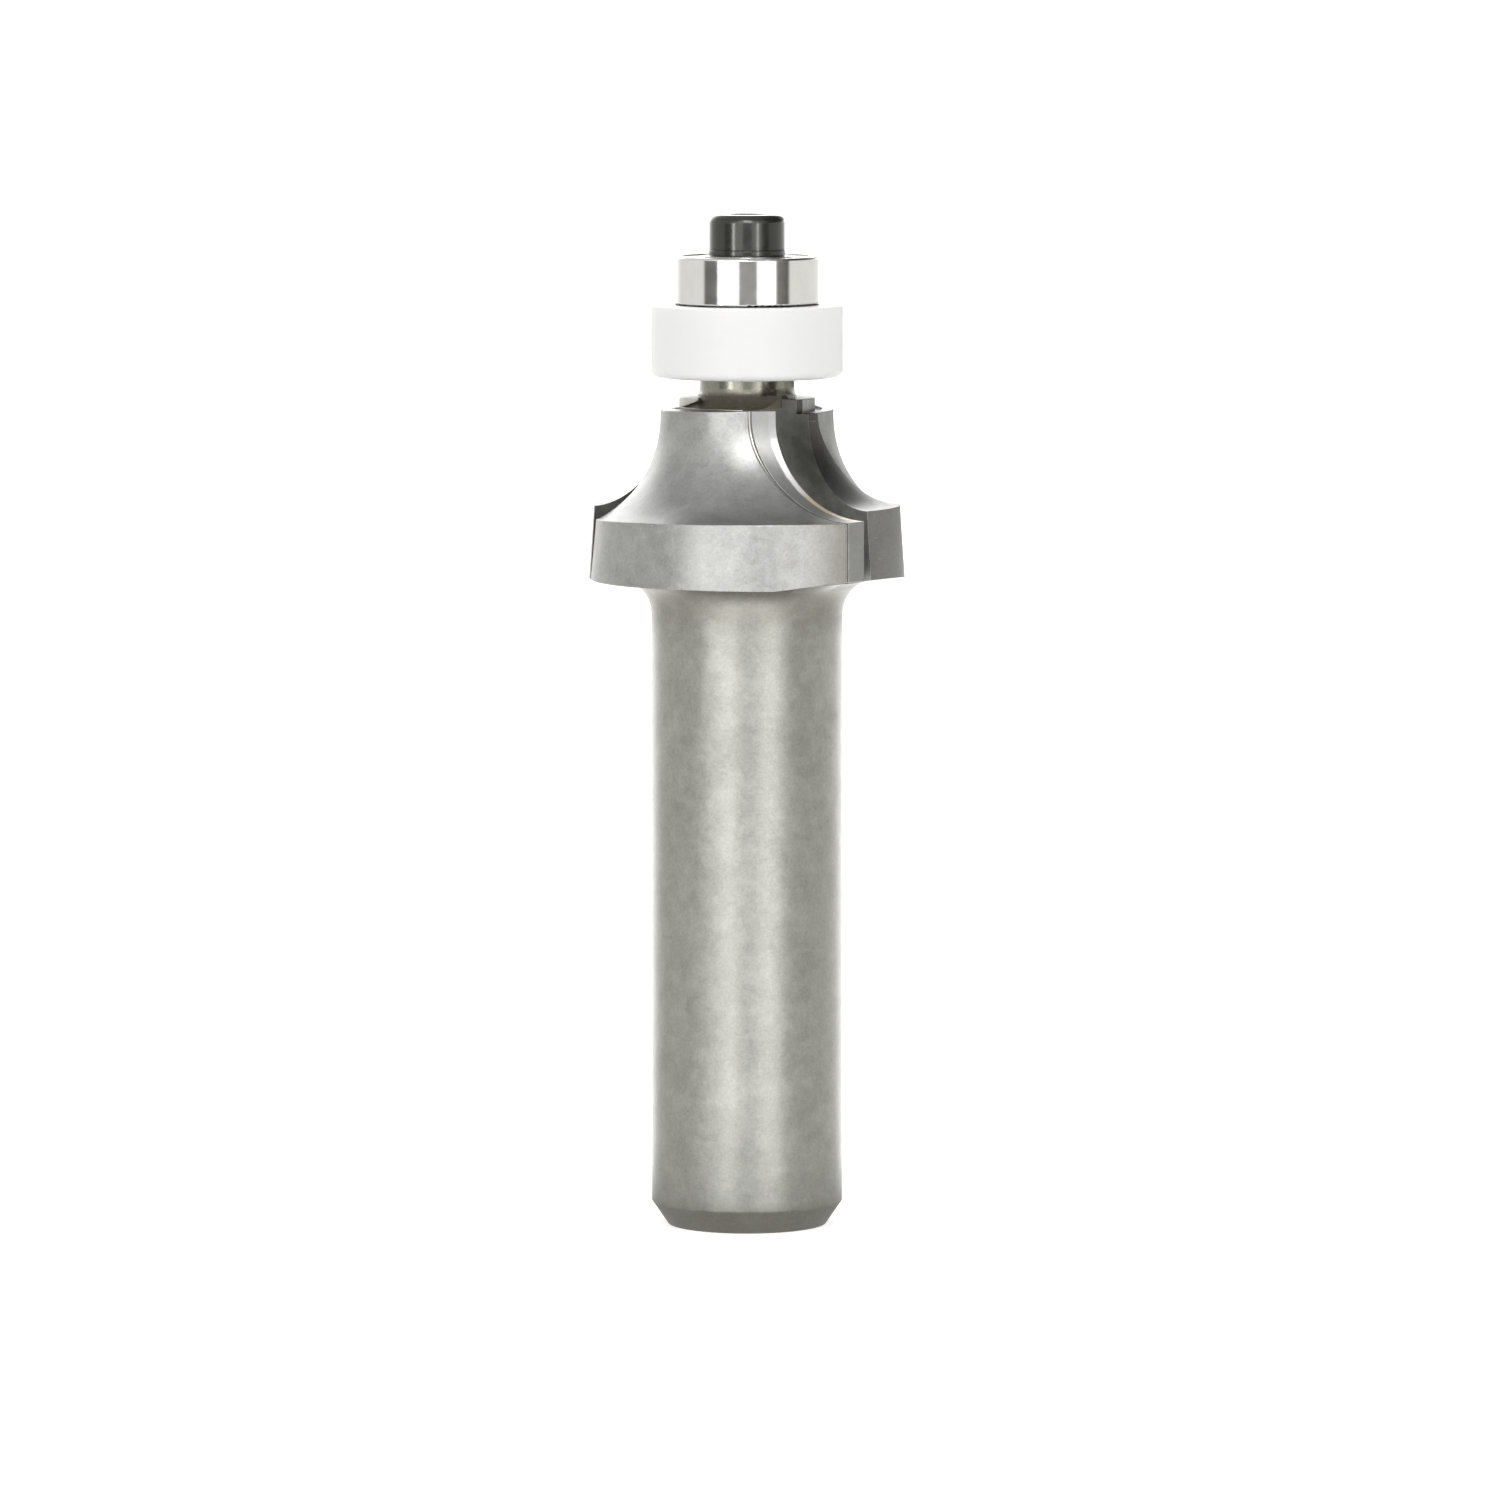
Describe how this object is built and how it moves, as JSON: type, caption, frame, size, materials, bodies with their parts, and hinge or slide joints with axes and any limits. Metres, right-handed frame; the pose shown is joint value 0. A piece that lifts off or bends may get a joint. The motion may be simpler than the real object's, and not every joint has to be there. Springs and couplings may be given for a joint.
{
  "type": "roundover router bit",
  "caption": "Roundover router bit: a plain round shank, a carbide-tipped winged head with a concave quarter-round profile, and guide bearings held by a cap screw.",
  "frame": {"origin": "centre of the shank's end face", "axes": "+Z runs along the axis from the shank's end to the cap screw, +X to the right in the picture and +Y away from the viewer"},
  "size_m": [0.021, 0.024, 0.0673],
  "materials": {
    "body_steel": "satin grey steel with a faint mottle, ground bright along the wings",
    "carbide": "finely ground, brighter than the steel",
    "braze": "dull brazing brass",
    "bearing_steel": "polished",
    "cage_steel": "pressed sheet",
    "shield_steel": "fine satin",
    "sleeve_plastic": "smooth white acetal with a soft sheen",
    "spacer_steel": "turned",
    "black_oxide": "oiled black oxide"
  },
  "bodies": {
    "bit": {"bit_body": "body_steel", "carbide_tip_front": "carbide", "carbide_tip_rear": "carbide", "braze_front": "braze", "braze_rear": "braze", "lower_spacer": "spacer_steel", "upper_spacer": "spacer_steel", "lower_inner_ring": "bearing_steel", "upper_inner_ring": "bearing_steel", "screw_washer": "black_oxide", "cap_screw": "black_oxide"},
    "guide": {"guide_sleeve": "sleeve_plastic", "lower_outer_ring": "bearing_steel", "lower_shield_top": "shield_steel", "lower_shield_bottom": "shield_steel"},
    "lower_cage": {"lower_cage": "cage_steel", "lower_balls": "bearing_steel"},
    "upper_bearing": {"upper_outer_ring": "bearing_steel", "upper_shield_top": "shield_steel", "upper_shield_bottom": "shield_steel"},
    "upper_cage": {"upper_cage": "cage_steel", "upper_balls": "bearing_steel"}
  },
  "joints": [
    {"name": "guide_spin", "type": "hinge", "parent": "bit", "child": "guide", "pos_m": [0, 0, 0.05893], "axis": [0, 0, 1], "continuous": true},
    {"name": "lower_cage_spin", "type": "hinge", "parent": "bit", "child": "lower_cage", "pos_m": [0, 0, 0.05893], "axis": [0, 0, 1], "continuous": true},
    {"name": "upper_bearing_spin", "type": "hinge", "parent": "bit", "child": "upper_bearing", "pos_m": [0, 0, 0.06295], "axis": [0, 0, 1], "continuous": true},
    {"name": "upper_cage_spin", "type": "hinge", "parent": "bit", "child": "upper_cage", "pos_m": [0, 0, 0.06295], "axis": [0, 0, 1], "continuous": true}
  ],
  "couplings": [
    {"joint": "lower_cage_spin", "follows": "guide_spin", "ratio": 0.61114},
    {"joint": "upper_cage_spin", "follows": "upper_bearing_spin", "ratio": 0.61114}
  ]
}
